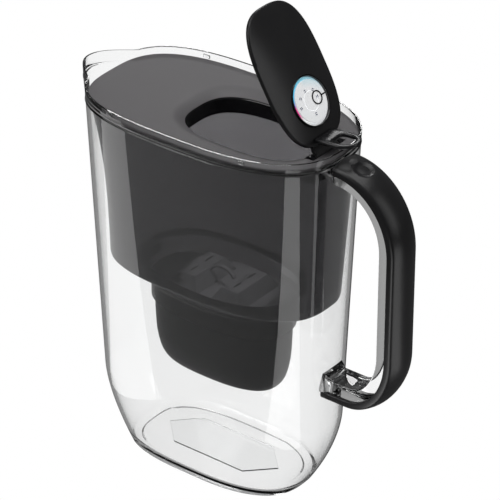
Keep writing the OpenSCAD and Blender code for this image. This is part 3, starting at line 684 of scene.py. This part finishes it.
for side in (-1, 1):
    lug_rows = []
    for dy, r in ((-LUG_T / 2, LUG_R - 0.3), (0.3 - LUG_T / 2, LUG_R), (LUG_T / 2 - 0.3, LUG_R),
                  (LUG_T / 2, LUG_R - 0.3)):
        y = side * LUG_Y + dy
        row = [(HX + r * math.cos(math.radians(a)), y, HZ + r * math.sin(math.radians(a)))
               for a in range(0, 181, 10)]
        lug_rows.append(row + [(HX - r, y, LUG_Z), (HX + r, y, LUG_Z)])
    show(loft("hinge_lug", lug_rows), "lid", M_GLOSS, "black_gloss_plastic", "lid_frame")

# The flip lid, drawn closed and swung open

FLIP_A, FLIP_B, FLIP_X, FLIP_Z = 46.45, 29.6, HX - 6.3 - 46.45, HZ + 3.5
DOME, SHOULDER, SKIRT, FLIP_T = 3.8, 1.0, 1.5, 1.8
DIAL_X = FLIP_X + FLIP_A - 27.2
DIAL_TOP = FLIP_Z + 4.6
DIAL_R, DISC_R = 16.6, 13.8


def flip_ring(k, t, z):
    """The flip lid's outline, t inside its edge and shrunk to k of its size."""
    return ring(k * (FLIP_A - t), k * (FLIP_A - t), k * (FLIP_B - t), z, (OPEN_N, OPEN_N), STEPS, FLIP_X)


def dome_z(k):
    return FLIP_Z + SHOULDER + DOME * (1 - k * k)


ks = [0.985, 0.96, 0.93, 0.9, 0.85, 0.8, 0.72, 0.64, 0.56, 0.48, 0.4, 0.32, 0.24, 0.16, 0.08]
shell = loft("flip_cover", (
    [flip_ring(k, FLIP_T, dome_z(k) - FLIP_T) for k in reversed(ks)]
    + [flip_ring(1, FLIP_T, FLIP_Z), flip_ring(1, FLIP_T, FLIP_Z - SKIRT), flip_ring(1, 0.25, FLIP_Z - SKIRT),
       flip_ring(1, 0.0, FLIP_Z - SKIRT + 0.25), flip_ring(1, 0.0, FLIP_Z), flip_ring(1, 0.06, FLIP_Z + 0.45),
       flip_ring(1, 0.28, FLIP_Z + 0.85)]
    + [flip_ring(k, 0.1, dome_z(k)) for k in ks]), place=SWING)
HOLE_R = DIAL_R + 0.15
hole = turned("hole", [(0.001, -3), (HOLE_R, -3), (HOLE_R, 20), (0.001, 20)],
              SWING @ Matrix.Translation(Vector((DIAL_X, 0, FLIP_Z))))
cut(shell, [hole], 30.0)
show(shell, "flip_lid", M_SATIN, "black_satin_plastic", "flip_lid_shell")

# The thumb lever: a ring-shaped loop

LEVER = SWING @ Matrix.Translation(Vector((70.9, 0, 266.9))) @ Matrix.Rotation(-math.radians(63.8), 4, "Y")


LEVER_HALF, LEVER_END, LEVER_ROOT, LEVER_ROUND = 10.0, 23.1, -3.6, 0.6
EYE_HALF, EYE_END, EYE_ROOT, EYE_ROUND = 6.5, 19.3, 5.8, 3.0
LEVER_SECTION = ((1.0, 1.4), (0.45, 1.2), (0.1, 0.7), (0.0, 0.0), (0.1, -0.7), (0.45, -1.2), (1.0, -1.4))


def loop(w, end, root, corner, z, count=64):
    """An outline with a half round at its end and small corners at its root."""
    pts = []
    for k in range(count + 1):
        a = math.radians(90 - 180 * k / count)
        pts.append((end - w + w * math.cos(a), w * math.sin(a), z))
    for side, start in ((-1, -90), (1, 180)):
        for k in range(count // 4 + 1):
            a = math.radians(start - 90 * k / (count // 4))
            pts.append((root + corner + corner * math.cos(a), side * (w - corner) + corner * math.sin(a), z))
    return pts


lever_rows = [loop(LEVER_HALF - g, LEVER_END - g, LEVER_ROOT, LEVER_ROUND, z) for g, z in LEVER_SECTION]
lever_rows += [loop(EYE_HALF + g, EYE_END + g, EYE_ROOT - g, EYE_ROUND, z)
               for g, z in reversed(LEVER_SECTION)]
lever = loft("lever_loop", lever_rows, closed=True, place=LEVER)
show(lever, "flip_lid", M_LEVER, "black_satin_plastic", "thumb_lever")

# The dial

DIAL = SWING @ Matrix.Translation(Vector((DIAL_X, 0, 0)))
CUP_DEPTH, SCALE_T, DISC_T, HUB_R, GROOVE = 3.9, 0.8, 1.1, 6.1, 0.3
cup_z = DIAL_TOP - CUP_DEPTH
cup = turned("dial_bezel", [(1.5, cup_z), (DIAL_R - 0.2, cup_z), (DIAL_R, cup_z + 0.2),
                            (DIAL_R, DIAL_TOP - 0.3), (DIAL_R - 0.3, DIAL_TOP),
                            (DIAL_R - 0.65, DIAL_TOP - 0.05), (DIAL_R - 0.9, DIAL_TOP - 0.4),
                            (DIAL_R - 0.9, cup_z + 1.1), (1.5, cup_z + 1.1)], DIAL)
show(cup, "flip_lid", M_GLOSS, "black_gloss_plastic", "dial_cup")
scale_z = cup_z + 1.25
disc_z = scale_z + SCALE_T + 0.3

WHITE, ICE, FROST, SKY = (0.9, 0.91, 0.92), (0.5, 0.77, 0.88), (0.72, 0.86, 0.91), (0.3, 0.68, 0.83)
MAGENTA = (0.75, 0.02, 0.3)
# Colour by turn around the dial, on the fixed scale and on the turning disc
SCALE_STOPS = [(0.0, SKY), (0.07, (0.14, 0.58, 0.78)), (0.19, (0.06, 0.44, 0.68)), (0.225, (0.3, 0.2, 0.58)),
               (0.245, MAGENTA), (0.3, MAGENTA), (0.325, (0.85, 0.5, 0.64)), (0.35, WHITE), (0.76, WHITE),
               (0.88, ICE), (1.0, SKY)]
DISC_STOPS = [(0.0, FROST), (0.03, WHITE), (0.76, WHITE), (0.9, (0.7, 0.86, 0.91)), (1.0, FROST)]


def dial_print(name, stops, white_middle):
    """Print on the dial: a ramp of colour around its axis, which fades to white in the disc's middle, and
    which also glows faintly as painted light.
    """
    mat, nt, bsdf = material(name)
    tc = nt.nodes.new("ShaderNodeTexCoord")
    mp = nt.nodes.new("ShaderNodeMapping")
    mp.vector_type = "TEXTURE"
    mp.inputs["Location"].default_value = DIAL @ Vector((0, 0, disc_z)) / 1000
    mp.inputs["Rotation"].default_value = (0, OPEN, 0)
    mp.inputs["Scale"].default_value = (0.001, 0.001, 0.001)
    nt.links.new(tc.outputs["Object"], mp.inputs["Vector"])
    xyz = nt.nodes.new("ShaderNodeSeparateXYZ")
    nt.links.new(mp.outputs["Vector"], xyz.inputs["Vector"])
    angle = math_node(nt, "ARCTAN2", xyz.outputs["Y"], xyz.outputs["X"])
    turn = nt.nodes.new("ShaderNodeMapRange")
    turn.inputs["From Min"].default_value = -math.pi
    turn.inputs["From Max"].default_value = math.pi
    nt.links.new(angle, turn.inputs["Value"])
    cloud = noise(nt, 60.0, 2.0)
    c = ramp(nt, turn.outputs["Result"], stops)
    mix = nt.nodes.new("ShaderNodeMix")
    mix.data_type = "RGBA"
    mix.blend_type = "MULTIPLY"
    mix.inputs["Factor"].default_value = 0.06
    nt.links.new(c.outputs["Color"], mix.inputs["A"])
    nt.links.new(cloud.outputs["Color"], mix.inputs["B"])
    shade = mix.outputs["Result"]
    if white_middle:
        flat = nt.nodes.new("ShaderNodeVectorMath")
        flat.operation = "MULTIPLY"
        flat.inputs[1].default_value = (1, 1, 0)
        nt.links.new(mp.outputs["Vector"], flat.inputs[0])
        far = nt.nodes.new("ShaderNodeVectorMath")
        far.operation = "LENGTH"
        nt.links.new(flat.outputs["Vector"], far.inputs[0])
        edge = nt.nodes.new("ShaderNodeMapRange")
        edge.inputs["From Min"].default_value = 8.5
        edge.inputs["From Max"].default_value = 13.0
        nt.links.new(far.outputs["Value"], edge.inputs["Value"])
        rim = nt.nodes.new("ShaderNodeMix")
        rim.data_type = "RGBA"
        rim.inputs["A"].default_value = (*WHITE, 1)
        nt.links.new(edge.outputs["Result"], rim.inputs["Factor"])
        nt.links.new(shade, rim.inputs["B"])
        shade = rim.outputs["Result"]
    nt.links.new(shade, bsdf.inputs["Base Color"])
    # Painted light: the print glows in its own colour at strength 0.4, brighter than the lamps alone make it
    nt.links.new(shade, bsdf.inputs["Emission Color"])
    bsdf.inputs["Emission Strength"].default_value = 0.4
    bsdf.inputs["Roughness"].default_value = 0.3
    return mat


M_INK = plastic("dial_ink", (0.1, 0.12, 0.22), (0.14, 0.16, 0.27), 0.45, grain_strength=0.0)
M_RING = dial_print("dial_print", SCALE_STOPS, False)
M_DISC = dial_print("dial_white", DISC_STOPS, True)
printed = turned("printed_ring", [(1.5, scale_z), (DIAL_R - 1.05, scale_z),
                                  (DIAL_R - 1.05, scale_z + SCALE_T), (1.5, scale_z + SCALE_T)], DIAL)
show(printed, "flip_lid", M_RING, "dial_print", "dial_scale")
disc_top = disc_z + DISC_T
disc = turned("turning_disc", [(1.4, disc_z), (DISC_R - 0.1, disc_z), (DISC_R, disc_z + 0.1),
                               (DISC_R, disc_top - 0.15), (DISC_R - 0.15, disc_top), (HUB_R + 0.45, disc_top),
                               (HUB_R + 0.4, disc_top - GROOVE), (HUB_R + 0.05, disc_top - GROOVE),
                               (HUB_R, disc_top), (0.01, disc_top), (0.01, disc_z + 0.6),
                               (1.4, disc_z + 0.6)], DIAL)
show(disc, "dial", M_DISC, "dial_white", "dial_disc")
# Six plain double strokes: x, y and turn on the disc
MARKS = ((-5.6, 5.1, 138), (-7.2, -1.8, -166), (-4.6, -8.1, -119), (1.0, -10.8, -85), (8.6, -0.6, -4),
         (-0.5, 6.4, 94))
MARK_GAP, MARK_W, MARK_L = 1.2, 0.6, 1.7
for x, y, turn_deg in MARKS:
    place = DIAL @ Matrix.Translation(Vector((x, y, 0))) @ Matrix.Rotation(math.radians(turn_deg), 4, "Z")
    for shift in (-MARK_GAP / 2, MARK_GAP / 2):
        mark = block("dial_mark", (shift - MARK_W / 2, -MARK_L / 2, disc_top - 0.01),
                     (shift + MARK_W / 2, MARK_L / 2, disc_top + 0.06), place=place)
        show(mark, "dial", M_INK, "dial_print", "dial_disc")

for name, mat in (("cartridge_seal", M_RUBBER), ("filter_media", M_GRANULES), ("top_screen", M_MESH),
                  ("bottom_screen", M_MESH), ("hinge_pin", M_STEEL), ("flip_lid_base", M_SATIN),
                  ("dial_pointer", M_GLOSS), ("dial_rivet", M_STEEL)):
    NODES[name].data.materials.clear()
    NODES[name].data.materials.append(mat)

# The stage: a pale floor and a plain world that look white to the camera, and lights

CAM_AZ, CAM_EL = math.radians(37.8), math.radians(31.61)
CAM_DISTANCE, FOCAL_PX, CENTRE_PX, PICTURE_PX = 2.15239, 3288.02, (233.96, 286.69), 500
right = Vector((math.cos(CAM_AZ), math.sin(CAM_AZ), 0))
back = Vector((math.sin(CAM_AZ) * math.cos(CAM_EL), -math.cos(CAM_AZ) * math.cos(CAM_EL), math.sin(CAM_EL)))
up_dir = back.cross(right)
centre = Vector((0.0082, 0, 0.1325))
WHITE_LEVEL, PALE, FLOOR_GREY = (1, 1, 1), (0.34, 0.34, 0.34), (0.14, 0.14, 0.14)
WORLD_GREY = (0.12, 0.12, 0.123)


def seen_straight(nt):
    """1 for camera rays and for what they see through clear walls, 0 for light that bounces."""
    path = nt.nodes.new("ShaderNodeLightPath").outputs
    seen = math_node(nt, "MAXIMUM", path["Is Camera Ray"], path["Is Transmission Ray"])
    for depth in ("Diffuse Depth", "Glossy Depth"):
        seen = math_node(nt, "MULTIPLY", seen, math_node(nt, "LESS_THAN", path[depth], 0.5))
    return seen


def through_walls(nt):
    """1 for light that has passed a clear wall on its way and met no matt surface."""
    path = nt.nodes.new("ShaderNodeLightPath").outputs
    inside = math_node(nt, "GREATER_THAN", path["Transmission Depth"], 0.5)
    return math_node(nt, "MULTIPLY", inside, math_node(nt, "LESS_THAN", path["Diffuse Depth"], 0.5))


def plain(nt, kind, colour):
    """A shader of one colour: emission, diffuse or background."""
    node = nt.nodes.new(kind)
    node.inputs["Color"].default_value = (*colour, 1)
    return node


def stage_material():
    """White to the camera, pale through the walls, and dark in reflections, so that they stay clear."""
    mat = bpy.data.materials.new("stage_white")
    mat.use_nodes = True
    nt = mat.node_tree
    nt.nodes.clear()
    out = nt.nodes.new("ShaderNodeOutputMaterial")
    grey = plain(nt, "ShaderNodeBsdfDiffuse", FLOOR_GREY).outputs["BSDF"]
    pale = plain(nt, "ShaderNodeEmission", PALE).outputs["Emission"]
    white = plain(nt, "ShaderNodeEmission", WHITE_LEVEL).outputs["Emission"]
    shade = mix_shader(nt, seen_straight(nt), mix_shader(nt, through_walls(nt), grey, pale), white)
    nt.links.new(shade, out.inputs["Surface"])
    return mat


bm = bmesh.new()
bmesh.ops.create_grid(bm, x_segments=1, y_segments=1, size=4.0)
floor = finish_mesh("floor", bm)
floor.data.materials.append(stage_material())

world = bpy.data.worlds.new("studio")
bpy.context.scene.world = world
world.use_nodes = True
wn = world.node_tree
wn.nodes.clear()
w_out = wn.nodes.new("ShaderNodeOutputWorld")
w_path = wn.nodes.new("ShaderNodeLightPath")
w_tc = wn.nodes.new("ShaderNodeTexCoord")
w_dot = wn.nodes.new("ShaderNodeVectorMath")
w_dot.operation = "DOT_PRODUCT"
w_dot.inputs[1].default_value = -back
wn.links.new(w_tc.outputs["Generated"], w_dot.inputs[0])
# What clear walls bend in from the sides is greyer than what lies straight behind them
w_ramp = ramp(wn, w_dot.outputs["Value"],
              [(0.0, (0.25, 0.25, 0.26)), (0.6, (0.45, 0.45, 0.46)), (0.85, WHITE_LEVEL)])
w_bent = wn.nodes.new("ShaderNodeBackground")
wn.links.new(w_ramp.outputs["Color"], w_bent.inputs["Color"])
w_grey = plain(wn, "ShaderNodeBackground", WORLD_GREY).outputs["Background"]
w_pale = plain(wn, "ShaderNodeBackground", PALE).outputs["Background"]
w_white = plain(wn, "ShaderNodeBackground", WHITE_LEVEL).outputs["Background"]
w_shade = mix_shader(wn, through_walls(wn), w_grey, w_pale)
w_shade = mix_shader(wn, seen_straight(wn), w_shade, w_bent.outputs["Background"])
w_shade = mix_shader(wn, w_path.outputs["Is Camera Ray"], w_shade, w_white)
wn.links.new(w_shade, w_out.inputs["Surface"])


def area_light(name, size, power, place, facing, unseen):
    """A rectangular light. An unseen one shows in reflections only."""
    data = bpy.data.lights.new(name, "AREA")
    data.shape = "RECTANGLE"
    data.size, data.size_y = size
    data.energy = power
    ob = bpy.data.objects.new(name, data)
    bpy.context.scene.collection.objects.link(ob)
    ob.location = place
    ob.rotation_euler = facing.to_track_quat("-Z", "Y").to_euler()
    if unseen:
        ob.visible_camera = False
        ob.visible_transmission = False


def softbox(name, offset, size, power, target=(0.0, 0.0, 0.15), unseen=False):
    """A light placed by (to the camera's right, up, towards the camera), aimed at the target."""
    place = centre + right * offset[0] + Vector((0, 0, 1)) * offset[1] + back * offset[2]
    area_light(name, size, power, place, Vector(target) - place, unseen)


CARD_H, CARD_Z, CARD_TILT = 0.214, 0.0745, (-0.69, 0.73)  # its tilt is (outwards, up)


def card(name, azimuth, radius, width, power):
    """A lit card that slopes up from the floor, seen only as a streak in the glossy walls."""
    a = math.radians(azimuth)
    out = Vector((math.cos(a), math.sin(a), 0))
    area_light(name, (width, CARD_H), power, out * radius + Vector((0, 0, CARD_Z)),
               out * CARD_TILT[0] + Vector((0, 0, CARD_TILT[1])), True)


softbox("key", (-1.3, 0.9, 0.5), (0.6, 1.5), 9.0)
softbox("side", (1.5, 0.5, 0.6), (0.4, 1.5), 3.0)
softbox("top", (0.0, 1.9, -0.3), (1.8, 1.2), 16.0)
softbox("rear", (0.0, 2.34, -2.11), (0.6, 0.3), 5.0, (0.0, 0.0, RIM_H / 1000), unseen=True)
card("card_left", -148, 0.1925, 0.085, 0.09)
card("card_front", -36, 0.1925, 0.085, 0.13)
card("card_handle", 8, 0.34, 0.12, 0.11)

# Light on the cartridge, through the lid's opening
lamp = bpy.data.lights.new("into_the_opening", "SPOT")
lamp.energy = 12.5
lamp.spot_size = math.radians(4.8)
lamp.spot_blend = 0.3
lamp.shadow_soft_size = 0.01
lamp_ob = bpy.data.objects.new("into_the_opening", lamp)
lamp_ob.location = (0.003, 0.0, 1.0)
bpy.context.scene.collection.objects.link(lamp_ob)

cam_data = bpy.data.cameras.new("camera")
cam = bpy.data.objects.new("camera", cam_data)
bpy.context.scene.collection.objects.link(cam)
cam.location = centre + back * CAM_DISTANCE
cam.rotation_euler = Matrix((right, up_dir, back)).transposed().to_euler()
cam_data.sensor_width = 36.0
cam_data.lens = FOCAL_PX / PICTURE_PX * cam_data.sensor_width
cam_data.shift_x = (PICTURE_PX / 2 - CENTRE_PX[0]) / PICTURE_PX
cam_data.shift_y = (CENTRE_PX[1] - PICTURE_PX / 2) / PICTURE_PX
cam_data.clip_end = 50.0
bpy.context.scene.camera = cam
bpy.context.scene.view_settings.view_transform = "Standard"
